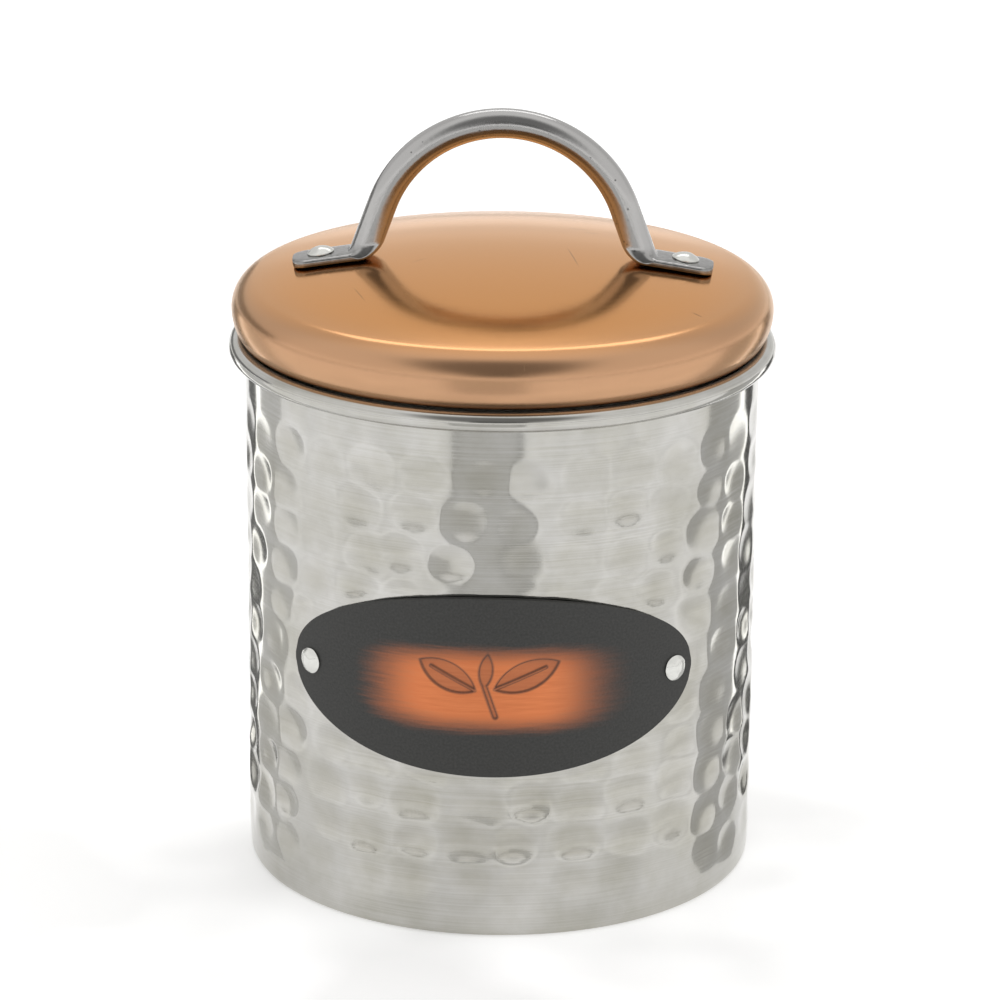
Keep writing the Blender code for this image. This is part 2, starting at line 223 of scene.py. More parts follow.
def hammer(bm):
    """Drives the wall in under each blow. A blow leaves a shallow bowl, and where two overlap a
    ridge stands between them."""
    girth = 2 * pi * wall_radius
    blows = hammer_blows()
    tree = kdtree.KDTree(3 * len(blows))
    for i, blow in enumerate(blows):
        for lap in (-1, 0, 1):
            tree.insert((blow[0] + lap * girth, blow[1], 0), i)
    tree.balance()
    band_low, band_top = BAND_EDGE, rim_height - 2 * RIM_ROLL - BAND_EDGE
    for v in bm.verts:
        radius = sqrt(v.co.x**2 + v.co.y**2)
        if not wall_inside - WALL_SLACK[0] <= radius <= wall_radius + WALL_SLACK[1]:
            continue
        if not band_low < v.co.z < band_top:
            continue
        along = atan2(v.co.y, v.co.x) % (2 * pi) * wall_radius
        total = 0.0
        for place, i, _ in tree.find_n((along, v.co.z, 0), BLOWS_FELT):
            _, _, half_width, half_height, depth = blows[i]
            reach = ((along - place.x) / half_width) ** 2 + ((v.co.z - place.y) / half_height) ** 2
            if reach < 1:
                total += (depth * (1 - reach) ** BLOW_EDGE) ** BLOW_MERGE
        above_plaque = v.co.z - plaque_middle
        under = (v.co.x / PLAQUE_SHADOW_REACH) ** 2 + (above_plaque / PLAQUE_SHADOW_RISE) ** 2
        if v.co.y < 0 and under < 1:
            force = (under - PLAQUE_SHADOW_EDGE) / (1 - PLAQUE_SHADOW_EDGE)
            total *= max(PLAQUE_SHADOW_FORCE, min(1, force)) ** BLOW_MERGE
        slow = noise.noise(v.co * WAVES_PER_METRE) * WAVE_HEIGHT
        fade = min(1, (v.co.z - band_low) / WAVE_FADE, (band_top - v.co.z) / WAVE_FADE)
        driven = radius - total ** (1 / BLOW_MERGE) - (slow + WAVE_HEIGHT) * fade
        v.co.x *= driven / radius
        v.co.y *= driven / radius


def mark_inside(bm):
    """Marks the inside, whose faces look towards the middle of the mouth, for the steel."""
    layer = bm.verts.layers.float.new("drawn_inside")
    bm.normal_update()
    for v in bm.verts:
        from_mouth = Vector((v.co.x, v.co.y, MOUTH_WEIGHT * (v.co.z - rim_height)))
        v[layer] = float(v.normal.dot(from_mouth) < 0)


def canister_section():
    """Base, foot, wall and rolled rim along the inside, and the same a sheet's thickness away."""
    foot = wall_inside - FOOT_DRAW_IN
    ring_outside = foot + SHEET - FOOT_CORNER
    ring_inside = ring_outside - STAND_RING
    roll = (wall_inside + RIM_ROLL, rim_height - RIM_ROLL)
    base_edge = (ring_inside - BASE_SLOPE, BASE_RISE + SHEET)
    low = (foot, FOOT_CORNER)
    shoulder = (wall_inside, FOOT_BAND)
    high = (wall_inside, rim_height - RIM_ROLL)
    base = [
        (0.0, BASE_RISE + SHEET),
        *straight((0, BASE_RISE + SHEET), base_edge, 4),
        base_edge,
        *straight(base_edge, (ring_inside, SHEET), 3),
        (ring_inside, SHEET),
        *arc((ring_outside, FOOT_CORNER), FOOT_CORNER - SHEET, -pi / 2, 0, 6),
    ]
    wall = straight(low, shoulder, 6) + [shoulder] + straight(shoulder, high, UPWARD_INSIDE)
    curl = arc(roll, RIM_ROLL, pi, pi - RIM_TURN, 14)
    inside = base + wall + curl
    back = sheet_section(inside, SHEET)[len(inside) :]
    # the outer face of the wall comes back in finer steps, for the hammering
    outer_high, outer_low = (high[0] + SHEET, high[1]), (shoulder[0] + SHEET, shoulder[1])
    outer_wall = straight(outer_high, outer_low, UPWARD_OUTSIDE)
    return inside + back[: len(curl)] + outer_wall + back[len(curl) + UPWARD_INSIDE - 1 :]


def brushed_steel():
    """Bright stainless, brushed round the caddy with a fine belt: faint level lines, and a grey that
    is a little warm."""
    material = new_material("brushed_hammered_steel")
    place = add_node(material, "TexCoord", out=3)
    # belt lines about 0.3 mm apart and tens of millimetres long
    lines = add_node(material, "Mapping", Vector=place, Scale=(25, 25, 3600))
    lines = add_node(material, "TexNoise", Vector=lines, Scale=1.0, Detail=3.0, Roughness=0.6)
    # stains and handling, about 15 mm across
    cloud = add_node(material, "TexNoise", Vector=place, Scale=70.0, Detail=5.0, Roughness=0.6)
    mottle = add_node(material, "Mix", i0=0.62, i2=lines, i3=cloud)
    mottle = add_node(material, "MapRange", Value=mottle, From_Min=0.3, From_Max=0.7)
    tint = add_node(
        material, "Mix", {"data_type": "RGBA"}, out=2, i0=mottle,
        i6=colour("#ABA9A0"), i7=colour("#C8C7C5"),
    )
    rough = add_node(
        material, "MapRange", Value=lines, From_Min=0.3, From_Max=0.7, To_Min=0.08, To_Max=0.15
    )
    # the hollows, which the belt hardly reached, are a little duller, and their colour is made a little
    # darker by depth: a painted shade that shows the hammering
    flat = add_node(material, "VectorMath", {"operation": "MULTIPLY"}, i0=place, i1=(1, 1, 0))
    radius = add_node(material, "VectorMath", {"operation": "LENGTH"}, out=1, i0=flat)
    shallow, deep = wall_radius - 0.0001, wall_radius - BLOW_DEPTH
    hollow = add_node(material, "MapRange", Value=radius, From_Min=shallow, From_Max=deep)
    rough = add_node(material, "Math", {"operation": "MULTIPLY_ADD"}, i0=hollow, i1=0.07, i2=rough)
    tint = add_node(
        material, "Mix", {"data_type": "RGBA", "blend_type": "MULTIPLY"}, out=2, i0=hollow, i6=tint,
        i7=colour("#F4F3EF"),
    )
    # the inside is left dull from drawing
    inside = add_node(material, "Attribute", {"attribute_name": "drawn_inside"}, out=2)
    rough = add_node(material, "Mix", i0=inside, i2=rough, i3=0.45)
    bump = add_node(material, "Bump", Height=lines, Strength=0.16, Distance=0.00004)
    return dress(material, Base_Color=tint, Metallic=1.0, Roughness=rough, Normal=bump)


canister = spun(canister_section(), AROUND)
mark_inside(canister)
hammer(canister)
add_piece("hammered_canister", canister, brushed_steel(), "canister", "hammered_steel", "canister_body")


# ------------------------------------------------------------------ the plaque
# An oval of 1.2 mm copper sheet bent to the wall. It is blackened all over, and its middle is rubbed
# back to bright copper in a soft oblong round a stamped sprig: two tea leaves and a bud.

PLAQUE_SHEET = 0.0012
STAMP_DEPTH = 0.00040
STAMP_EDGE = 0.00030
STAMP_OUTLINE = 0.00045  # how far the dark reaches either side of a stamped edge
STAMP_DARK = 0.30  # how dark its sunk faces are beside its edges
MIDRIB_SHARE = 0.8  # of its leaf's length
MIDRIB_HALF_WIDTH = 0.00028
SHORTEST_RIBBED = 0.0100
FINE_STEP = 0.00022  # of the grid around the stamp
FINE_HALF_WIDTH = 0.0185
FINE_HALF_HEIGHT = 0.0080
COARSE_STEP = 0.0008
COARSE_ROW = 0.05  # in half heights
TIP_SHARE = 0.9995  # the grid ends just short of the oval's tips, where it has no height
RUBBED_HALF_LENGTH = 0.0272
RUBBED_HALF_HEIGHT = 0.0094

plaque_half_height = (plaque_high.z - plaque_low.z) / 2
plaque_radius = -plaque_low.y
plaque_half_length = asin(plaque_high.x / plaque_radius) * wall_radius


def leaf_distance(point, root, lean, length, half_width):
    """Signed distance from a pointed leaf that grows from its root: negative inside it."""
    p = Matrix.Rotation(-lean, 2) @ (Vector(point) - Vector(root))
    p = Vector((abs(p.x - length / 2), abs(p.y)))
    radius = ((length / 2) ** 2 + half_width**2) / (2 * half_width)
    back = radius - half_width
    if p.x * back > (length / 2) * (p.y + back):
        return (p - Vector((length / 2, 0))).length
    return (p - Vector((0, -back))).length - radius


def stroke_distance(point, a, b, half_width):
    p, line = Vector(point) - Vector(a), Vector(b) - Vector(a)
    share = max(0, min(1, p.dot(line) / line.length_squared))
    return (p - line * share).length - half_width


def smooth_step(x):
    return x * x * (3 - 2 * x)


LEAVES = (  # root, lean, length, half width
    ((-0.0030, -0.0006), radians(152), 0.0135, 0.0030),
    ((0.0010, -0.0002), radians(24), 0.0150, 0.0031),
)
BUD = ((-0.0012, 0.0000), radians(84), 0.0078, 0.0014)
STALK = ((0.0012, -0.0064), (-0.0010, 0.0002), 0.00045)


def stamp_distance(point):
    """Signed distance from the sprig. Each leaf keeps its midrib standing, and the bud has none."""
    found = stroke_distance(point, *STALK)
    for root, lean, length, half_width in (*LEAVES, BUD):
        leaf = leaf_distance(point, root, lean, length, half_width)
        if length > SHORTEST_RIBBED:
            along = Vector((cos(lean), sin(lean)))
            tip = Vector(root) + along * length * MIDRIB_SHARE
            leaf = max(leaf, -stroke_distance(point, root, tip, MIDRIB_HALF_WIDTH))
        found = min(found, leaf)
    return found


def spread(half, fine_half, fine_step, coarse_step):
    """Places from -half to half: close together in the middle, wider apart outside it."""
    outer = max(1, round((half - fine_half) / coarse_step))
    inner = round(2 * fine_half / fine_step)
    left = [-half + (half - fine_half) * i / outer for i in range(outer)]
    middle = [-fine_half + 2 * fine_half * i / inner for i in range(inner + 1)]
    return left + middle + [-x for x in reversed(left)]


def make_plaque():
    """A grid, thickened, drawn to an oval, stamped on its front and bent to the wall."""
    columns = spread(plaque_half_length * TIP_SHARE, FINE_HALF_WIDTH, FINE_STEP, COARSE_STEP)
    fine_rows = (FINE_HALF_HEIGHT / plaque_half_height, FINE_STEP / plaque_half_height)
    rows = spread(1.0, *fine_rows, COARSE_ROW)
    bm = bmesh.new()
    uv = bm.loops.layers.uv.new("plaque")
    dark = bm.verts.layers.float.new("stamp")
    bmesh.ops.create_grid(bm, x_segments=len(columns) - 1, y_segments=len(rows) - 1, size=1)
    bmesh.ops.solidify(bm, geom=bm.faces[:], thickness=PLAQUE_SHEET)
    front = max(v.co.z for v in bm.verts) - PLAQUE_SHEET / 2
    for v in bm.verts:
        along = columns[round((v.co.x + 1) / 2 * (len(columns) - 1))]
        share = rows[round((v.co.y + 1) / 2 * (len(rows) - 1))]
        up = share * plaque_half_height * sqrt(1 - (along / plaque_half_length) ** 2)
        lift = 0.0 if v.co.z > front else -PLAQUE_SHEET
        if lift == 0 and abs(along) < FINE_HALF_WIDTH and abs(up) < FINE_HALF_HEIGHT:
            far = stamp_distance((along, up))
            sunk = min(1, max(0, (STAMP_EDGE / 2 - far) / STAMP_EDGE))
            lift = -STAMP_DEPTH * smooth_step(sunk)
            v[dark] = max(STAMP_DARK * sunk, 1 - abs(far) / STAMP_OUTLINE)
        v.co = (along, up, lift)
    for face in bm.faces:
        for loop in face.loops:
            loop[uv].uv = loop.vert.co.xy
    bmesh.ops.recalc_face_normals(bm, faces=bm.faces)
    for v in bm.verts:
        turn = v.co.x / wall_radius
        radius = plaque_radius + v.co.z
        v.co = (sin(turn) * radius, -cos(turn) * radius, plaque_middle + v.co.y)
    return bm


def rubbed_copper():
    """Copper with a dead black-grey patina, rubbed through to bright orange metal in the middle. The
    rubbing left level streaks, and the dark stays in the stamped edges."""
    material = new_material("patinated_copper")
    place = add_node(material, "UVMap", {"uv_map": "plaque"})
    # rubbing streaks about 0.7 mm apart and 10 mm long
    streaks = add_node(material, "Mapping", Vector=place, Scale=(100, 1400, 1))
    streaks = add_node(material, "TexNoise", Vector=streaks, Scale=1.0, Detail=4.0, Roughness=0.65)
    # grain of the patina, about 0.5 mm
    grit = add_node(material, "TexNoise", Vector=place, Scale=1900.0, Detail=3.0)
    # how far out of the rubbed oblong a point is: the fourth root of the sum of fourth powers
    size = (1 / RUBBED_HALF_LENGTH, 1 / RUBBED_HALF_HEIGHT, 1)
    reach = add_node(material, "Mapping", Vector=place, Scale=size, Location=(-0.03, 0.05, 0))
    reach = add_node(material, "VectorMath", {"operation": "MULTIPLY"}, i0=reach, i1=reach)
    reach = add_node(material, "VectorMath", {"operation": "LENGTH"}, out=1, i0=reach)
    reach = add_node(material, "Math", {"operation": "SQRT"}, i0=reach)
    reach = add_node(material, "Math", {"operation": "MULTIPLY_ADD"}, i0=streaks, i1=0.3, i2=reach)
    rubbed = add_node(
        material, "MapRange", {"interpolation_type": "SMOOTHSTEP"}, Value=reach,
        From_Min=1.30, From_Max=0.70, To_Min=0.0, To_Max=1.0,
    )
    # the bright copper shows less towards the right
    right_fade = add_node(material, "SeparateXYZ", Vector=place)
    right_fade = add_node(
        material, "MapRange", {"interpolation_type": "SMOOTHSTEP"}, Value=right_fade,
        From_Min=0.010, From_Max=0.030, To_Min=1.0, To_Max=0.25,
    )
    stamp = add_node(material, "Attribute", {"attribute_name": "stamp"}, out=2)
    stamp = add_node(material, "Math", {"operation": "MULTIPLY_ADD"}, i0=stamp, i1=-0.85, i2=1.0)
    shown = add_node(material, "Math", {"operation": "MULTIPLY"}, i0=rubbed, i1=right_fade)
    shown = add_node(material, "Math", {"operation": "MULTIPLY"}, i0=shown, i1=stamp)
    bright = add_node(
        material, "Mix", {"data_type": "RGBA"}, out=2, i0=streaks,
        i6=colour("#C26A42"), i7=colour("#E38D5A"),
    )
    dark = add_node(
        material, "Mix", {"data_type": "RGBA"}, out=2, i0=grit,
        i6=colour("#1E1E1D"), i7=colour("#3F3F3D"),
    )
    shade = add_node(material, "Mix", {"data_type": "RGBA"}, out=2, i0=shown, i6=dark, i7=bright)
    rough = add_node(material, "MapRange", Value=shown, To_Min=0.60, To_Max=0.42)
    metal = add_node(material, "MapRange", Value=shown, To_Min=0.10, To_Max=0.80)
    bump = add_node(material, "Bump", Height=grit, Strength=0.25, Distance=0.00004)
    bump = add_node(material, "Bump", Height=streaks, Strength=0.25, Distance=0.00005, Normal=bump)
    return dress(material, Base_Color=shade, Metallic=metal, Roughness=rough, Normal=bump)


plaque = make_plaque()
add_piece("oval_plaque", plaque, rubbed_copper(), "canister", "plaque_copper", "plaque", sharp=50)


# ------------------------------------------------------------------ the plaque's rivets and washers
# Solid steel rivets with low domed heads, a little flattened by the hammer that closed them. Each
# tail is formed over a washer inside the wall.

SHANK_RADIUS = 0.0015
HEAD_EDGE = 0.0003
TAIL_RADIUS = 0.0022
TAIL_RISE = 0.0008
WASHER_RADIUS = 0.0034
WASHER_SHEET = 0.0007
PLAQUE_HEAD_RADIUS = 0.00285
PLAQUE_HEAD_RISE = 0.0012
PLAQUE_HEAD_FLATS = 0.00010  # how deep the closing hammer marked a head
FLATS_PER_METRE = 700
FLATS_START = 0.0002  # above the head's seat
SOFT_EDGE = 0.0001
WASHER_PLAY = 0.0001
RIVET_STEPS = 40


def rivet_outline(head, rise, head_seat, tail_seat):
    """A domed head on a shank, with a formed tail. Heights count from the sheet's outer face."""
    ball = (head**2 + (rise - HEAD_EDGE) ** 2) / (2 * (rise - HEAD_EDGE))
    dome = arc((0, head_seat + rise - ball), ball, pi / 2 - asin(head / ball), pi / 2, 12)
    tail = arc((TAIL_RADIUS - TAIL_RISE / 2, tail_seat - TAIL_RISE / 2), TAIL_RISE / 2, -pi / 2, 0, 4)
    return [
        (0.0, tail_seat - TAIL_RISE),
        *tail,
        (TAIL_RADIUS, tail_seat),
        (SHANK_RADIUS, tail_seat),
        (SHANK_RADIUS, head_seat),
        (head - SOFT_EDGE, head_seat),
        (head, head_seat + SOFT_EDGE),
        *dome[:-1],
        (0.0, head_seat + rise),
    ]


def washer_outline(seat):
    hole = SHANK_RADIUS + WASHER_PLAY
    return [
        (hole, seat - WASHER_SHEET),
        (WASHER_RADIUS - SOFT_EDGE, seat - WASHER_SHEET),
        (WASHER_RADIUS, seat - WASHER_SHEET + SOFT_EDGE),
        (WASHER_RADIUS, seat - SOFT_EDGE),
        (WASHER_RADIUS - SOFT_EDGE, seat),
        (hole, seat),
    ]


def planish(bm, seed, head_seat, depth):
    """Small flats that the closing hammer left on a head."""
    for v in bm.verts:
        if v.co.z > head_seat + FLATS_START:
            push = noise.noise(v.co * FLATS_PER_METRE + Vector((seed, seed * 2, 0)))
            v.co.z += push * depth
    return bm


def bright_steel():
    """Bright steel, tumbled: soft scuffs about 0.7 mm across."""
    material = new_material("tumbled_steel")
    place = add_node(material, "TexCoord", out=3)
    scuffs = add_node(material, "TexNoise", Vector=place, Scale=1400.0, Detail=4.0, Roughness=0.6)
    rough = add_node(material, "MapRange", Value=scuffs, To_Min=0.12, To_Max=0.30)
    bump = add_node(material, "Bump", Height=scuffs, Strength=0.20, Distance=0.00004)
    return dress(material, Base_Color=colour("#D6D6D2"), Metallic=1.0, Roughness=rough, Normal=bump)


def plaque_rivet_place(side):
    """On the wall's outer face, with Z out of it."""
    low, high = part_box("plaque_rivet_right")
    turn = atan2(high.x + low.x, -high.y - low.y)
    point = Vector((sin(turn) * side * wall_radius, -cos(turn) * wall_radius, (low.z + high.z) / 2))
    upright = Matrix.Rotation(pi / 2, 4, "X")
    return Matrix.Translation(point) @ Matrix.Rotation(side * turn, 4, "Z") @ upright


def add_rivet_and_washer(seat, word, rivet, washer, place, body):
    """A rivet and its washer, turned at the origin and set in their place."""
    for shape, kind, bm in (("domed", "rivet", rivet), ("flat", "washer", washer)):
        bm.transform(place)
        name = f"{seat}_{kind}_{word}"
        add_piece(f"{shape}_{name}", bm, rivet_steel, body, "rivet_steel", name)


rivet_steel = bright_steel()
plaque_front = plaque_radius - wall_radius
washer_seat = -SHEET - (wall_inside - sqrt(wall_inside**2 - WASHER_RADIUS**2))
for side, word in ((-1, "left"), (1, "right")):
    rivet = rivet_outline(PLAQUE_HEAD_RADIUS, PLAQUE_HEAD_RISE, plaque_front, washer_seat - WASHER_SHEET)
    rivet = planish(spun(rivet, RIVET_STEPS), side * 3, plaque_front, PLAQUE_HEAD_FLATS)
    washer = spun(washer_outline(washer_seat), RIVET_STEPS)
    add_rivet_and_washer("plaque", word, rivet, washer, plaque_rivet_place(side), "canister")


# ------------------------------------------------------------------ the lid's cover
# A dome spun from 0.6 mm steel, copper plated, brushed while it turned, and lacquered. Its side
# draws in to a hem that is turned inwards, on which the skirt is held.

LID_SHEET = 0.0006
LID_WIDEST = 0.0066  # above the rim
LID_SHOULDER = 0.0065
LID_EDGE_OVERHANG = 0.0008
SKIRT_FLANGE = 0.0027
LID_GAP = 0.0003
HEM_FOLD = 0.0012
COVER_AROUND = 256
SIDE_START = 0.0150  # above the rim: the round brushing gives way to upright brushing, and the painted paler side colour begins
SIDE_WHOLE = 0.0105

lid_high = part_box("lid_cover")[1]
lid_rise = lid_high.z - rim_height
lid_radius = lid_high.x
skirt_low, skirt_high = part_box("lid_skirt")
skirt_radius = skirt_high.x - SKIRT_FLANGE
hem_radius = skirt_radius + LID_GAP
crown_reach = lid_radius - LID_SHOULDER
crown_drop = lid_rise - LID_WIDEST
crown_radius = (crown_reach**2 + crown_drop**2 - LID_SHOULDER**2) / (2 * (crown_drop - LID_SHOULDER))
crown_middle = lid_high.z - crown_radius


def cover_section():
    """Tangent arcs: crown, shoulder, and the side that draws in. The hem turns in with a small fold."""
    tangent = atan2(crown_reach, crown_radius - crown_drop)
    widest = rim_height + LID_WIDEST
    crown = arc((0, crown_middle), crown_radius, pi / 2, pi / 2 - tangent, 44)
    shoulder = arc((crown_reach, widest), LID_SHOULDER, pi / 2 - tangent, 0, 22)
    fall = LID_WIDEST - LID_GAP
    draw_in = lid_radius - wall_radius - LID_EDGE_OVERHANG
    side_radius = (fall**2 + draw_in**2) / (2 * draw_in)
    side_middle = Vector((lid_radius - side_radius, widest))
    turn = asin((fall - HEM_FOLD) / (side_radius - HEM_FOLD))
    side = arc(side_middle, side_radius, 0, -turn, 18)
    fold = side_middle + Vector((cos(turn), -sin(turn))) * (side_radius - HEM_FOLD)
    fold = arc(fold, HEM_FOLD, -turn, -pi / 2, 6)
    line = [(0.0, lid_high.z), *crown[1:], *shoulder[1:], *side[1:], *fold[1:]]
    return sheet_section([*line, (hem_radius, rim_height + LID_GAP)], LID_SHEET)


SCRATCHES = (  # middle, half length, half width, lean
    ((0.0155, -0.0020), 0.0075, 0.00013, radians(-78)),
    ((-0.0300, -0.0255), 0.0050, 0.00010, radians(-70)),
    ((0.0160, 0.0250), 0.0030, 0.00016, radians(-12)),
    ((0.0190, 0.0215), 0.0022, 0.00014, radians(-8)),
    ((0.0430, -0.0290), 0.0016, 0.00020, radians(-35)),
    ((-0.0180, -0.0060), 0.0024, 0.00008, radians(40)),
)


def lid_copper():
    """Steel plated with copper and thinly lacquered. It was brushed in rings on the top and upright
    on the side before that, and it has a few handling scratches and specks."""
    material = new_material("lacquered_copper_plate")
    place = add_node(material, "TexCoord", out=3)
    flat = add_node(material, "VectorMath", {"operation": "MULTIPLY"}, i0=place, i1=(1, 1, 0))
    radius = add_node(material, "VectorMath", {"operation": "LENGTH"}, out=1, i0=flat)
    turned = add_node(material, "Mapping", Vector=place, Rotation=(0, 0, pi / 2))
    split = add_node(material, "SeparateXYZ", Vector=turned).node.outputs
    angle = add_node(material, "Math", {"operation": "ARCTAN2"}, i0=split["Y"], i1=split["X"])
    # rings about 0.4 mm apart on the top
    rings = add_node(material, "CombineXYZ", X=radius, Y=angle)
    rings = add_node(material, "Mapping", Vector=rings, Scale=(2400, 2, 1))
    rings = add_node(material, "TexNoise", Vector=rings, Scale=1.0, Detail=3.0, Roughness=0.6)
    # upright hairlines about 0.4 mm apart on the side
    hairs = add_node(material, "CombineXYZ", X=angle, Y=split["Z"])
    hairs = add_node(material, "Mapping", Vector=hairs, Scale=(150, 60, 1))
    hairs = add_node(material, "TexNoise", Vector=hairs, Scale=1.0, Detail=3.0, Roughness=0.6)
    on_side = add_node(
        material, "MapRange", {"interpolation_type": "SMOOTHSTEP"}, Value=split["Z"],
        From_Min=rim_height + SIDE_START, From_Max=rim_height + SIDE_WHOLE, To_Min=0.0, To_Max=1.0,
    )
    brushed = add_node(material, "Mix", i0=on_side, i2=rings, i3=hairs)
    # painted reflection: the side is given a paler, pinker copper than the top, for the white surroundings
    # it mirrors
    tone = add_node(
        material, "Mix", {"data_type": "RGBA"}, out=2, i0=on_side,
        i6=colour("#D8985B"), i7=colour("#C19673"),
    )
    # specks about 0.3 mm across and 6 mm apart
    marks = add_node(material, "TexVoronoi", Vector=place, Scale=160.0)
    marks = add_node(
        material, "MapRange", Value=marks, From_Min=0.035, From_Max=0.015, To_Min=0.0, To_Max=0.5
    )
    for middle, half_length, half_width, lean in SCRATCHES:
        line = add_node(
            material, "Mapping", {"vector_type": "TEXTURE"}, Vector=flat,
            Location=(*middle, 0), Rotation=(0, 0, lean), Scale=(half_length, half_width, 1),
        )
        line = add_node(material, "VectorMath", {"operation": "LENGTH"}, out=1, i0=line)
        line = add_node(material, "MapRange", Value=line, From_Min=1.0, From_Max=0.5, To_Min=0.0, To_Max=0.7)
        marks = add_node(material, "Math", {"operation": "MAXIMUM"}, i0=marks, i1=line)
    tone = add_node(material, "Mix", {"data_type": "RGBA"}, out=2, i0=marks, i6=tone, i7=colour("#5A3A22"))
    # duller on the side, in clouds about 20 mm across, and between the hairlines
    cloud = add_node(material, "TexNoise", Vector=place, Scale=45.0, Detail=3.0)
    rough = add_node(material, "Math", {"operation": "MULTIPLY_ADD"}, i0=on_side, i1=0.10, i2=0.07)
    rough = add_node(material, "Math", {"operation": "MULTIPLY_ADD"}, i0=cloud, i1=0.06, i2=rough)
    rough = add_node(material, "Math", {"operation": "MULTIPLY_ADD"}, i0=brushed, i1=0.10, i2=rough)
    bump = add_node(material, "Bump", Height=brushed, Strength=0.10, Distance=0.00004)
    return dress(
        material, Base_Color=tone, Metallic=1.0, Roughness=rough, Normal=bump,
        Specular_Tint=(1.0, 0.92, 0.80, 1), Coat_Weight=0.15, Coat_Roughness=0.08, Coat_IOR=1.5,
    )


cover = spun(cover_section(), COVER_AROUND)
add_piece("domed_cover", cover, lid_copper(), "lid", "lid_copper", "lid_cover")


# ------------------------------------------------------------------ the skirt and its seal
# A plain steel ring under the cover plugs the mouth. A groove rolled into it holds a ring of pale
# silicone with two lips.

SKIRT_SHEET = 0.0006
GROOVE_DEPTH = 0.0014
GROOVE_SLOPE = 0.0008
GROOVE_SOFT = 0.0002
FLANGE_BEND = 0.0004
SEAL_BODY = 0.0013
SEAL_LIP = 0.0004
LIP_ROUND = 0.0001
SKIRT_AROUND = 192

seal_low, seal_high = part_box("seal_ring")


def skirt_section():
    """The flange, the groove and the plain lower edge, along the ring's outer face."""
    low, high = seal_low.z - GROOVE_SLOPE - LID_GAP, seal_high.z + GROOVE_SLOPE + LID_GAP
    seat = skirt_high.z - SKIRT_SHEET
    deep = skirt_radius - GROOVE_DEPTH
    face = [
        (skirt_high.x, seat),
        (skirt_radius + FLANGE_BEND, seat),
        (skirt_radius, seat - FLANGE_BEND),
        (skirt_radius, high),
        (deep + GROOVE_SOFT, high - GROOVE_SLOPE + GROOVE_SOFT / 2),
        (deep, high - GROOVE_SLOPE - GROOVE_SOFT),
        (deep, low + GROOVE_SLOPE + GROOVE_SOFT),
        (deep + GROOVE_SOFT, low + GROOVE_SLOPE - GROOVE_SOFT / 2),
        (skirt_radius, low),
        (skirt_radius, skirt_low.z),
    ]
    return sheet_section(face, SKIRT_SHEET)


def seal_section():
    """A flat body with two lips that slope up to a soft tip and back."""
    inside = skirt_radius - GROOVE_DEPTH + LID_GAP
    body = inside + SEAL_BODY
    reach = seal_high.x
    low, high = seal_low.z, seal_high.z
    middle = (low + high) / 2
    points = [(inside, low), (body, low)]
    for lip in (low, middle):
        points += [(reach - LIP_ROUND, lip + SEAL_LIP), (reach, lip + 1.4 * SEAL_LIP)]
        points += [(reach - LIP_ROUND, lip + 2 * SEAL_LIP), (body, lip + SEAL_LIP * 1.3)]
        if lip == low:
            points.append((body, middle))
    return points + [(body, high), (inside, high)]


def silicone():
    """Clear-white silicone: soft, a little see-through, with a matt moulded skin."""
    material = new_material("pale_silicone")
    place = add_node(material, "TexCoord", out=3)
    # skin about 1 mm in grain
    skin = add_node(material, "TexNoise", Vector=place, Scale=900.0, Detail=3.0)
    rough = add_node(material, "MapRange", Value=skin, To_Min=0.38, To_Max=0.55)
    bump = add_node(material, "Bump", Height=skin, Strength=0.15, Distance=0.00003)
    return dress(
        material, Base_Color=colour("#D9D8D2"), Roughness=rough, Normal=bump,
        Subsurface_Weight=0.25, Subsurface_Scale=0.002, IOR=1.41,
    )


def plain_steel():
    """Satin stainless, brushed round as it was rolled."""
    material = new_material("satin_steel")
    place = add_node(material, "TexCoord", out=3)
    # rolling lines about 0.5 mm apart and 30 mm long
    lines = add_node(material, "Mapping", Vector=place, Scale=(30, 30, 2200))
    lines = add_node(material, "TexNoise", Vector=lines, Scale=1.0, Detail=3.0)
    rough = add_node(material, "MapRange", Value=lines, To_Min=0.22, To_Max=0.38)
    bump = add_node(material, "Bump", Height=lines, Strength=0.15, Distance=0.00004)
    return dress(material, Base_Color=colour("#C6C5C1"), Metallic=1.0, Roughness=rough, Normal=bump)


skirt = spun(skirt_section(), SKIRT_AROUND)
add_piece("plug_skirt", skirt, plain_steel(), "lid", "plain_steel", "lid_skirt")
seal = spun(seal_section(), SKIRT_AROUND)
add_piece("lipped_seal", seal, silicone(), "seal", "silicone", "seal_ring")


# ------------------------------------------------------------------ the handle
# One steel rod, 6.6 mm thick, bent to an arch. Its ends are flattened into feet with rounded
# corners, and bent sharply outwards to lie on the crown.

ROD_DIAMETER = 0.0066
ARCH_RADIUS = 0.0283
LEG_LEAN = radians(70)
HEEL_INNER = 0.0006
HEEL_OUTER = 0.0065
FOOT_SHEET = 0.0020
FOOT_ROUND = 0.0030
FOOT_SQUARE = 4.5  # superellipse exponent of its section, where the round rod has 2
LEG_SHARE = 0.35  # how much of the flattening already happens on the leg
FOOT_GAP = 0.00005  # between the feet and the crown
FOOT_END_TURN = radians(88)  # how far round each corner its last section stands
ROD_SIDES = 48
ARCH_STEPS = 40
LEG_STEPS = 10
BEND_STEPS = 24
FOOT_STEPS = 6
FOOT_END_STEPS = 12
# how far up the legs the feet's painted dark reflection fades
FOOT_SHADE_FADE = 0.004

handle_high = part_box("handle")[1]
rivet_low, rivet_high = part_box("handle_rivet_right")
foot_width = 2 * handle_high.y
foot_tilt = asin((rivet_low.x + rivet_high.x) / 2 / crown_radius)
rivet_reach = sin(foot_tilt) * crown_radius
foot_shade_height = crown_middle + crown_radius * cos(foot_tilt) + FOOT_SHEET


def out(lean):
    """Out of the rod's upper side, where that leans this far from upright."""
    return Vector((sin(lean), cos(lean)))


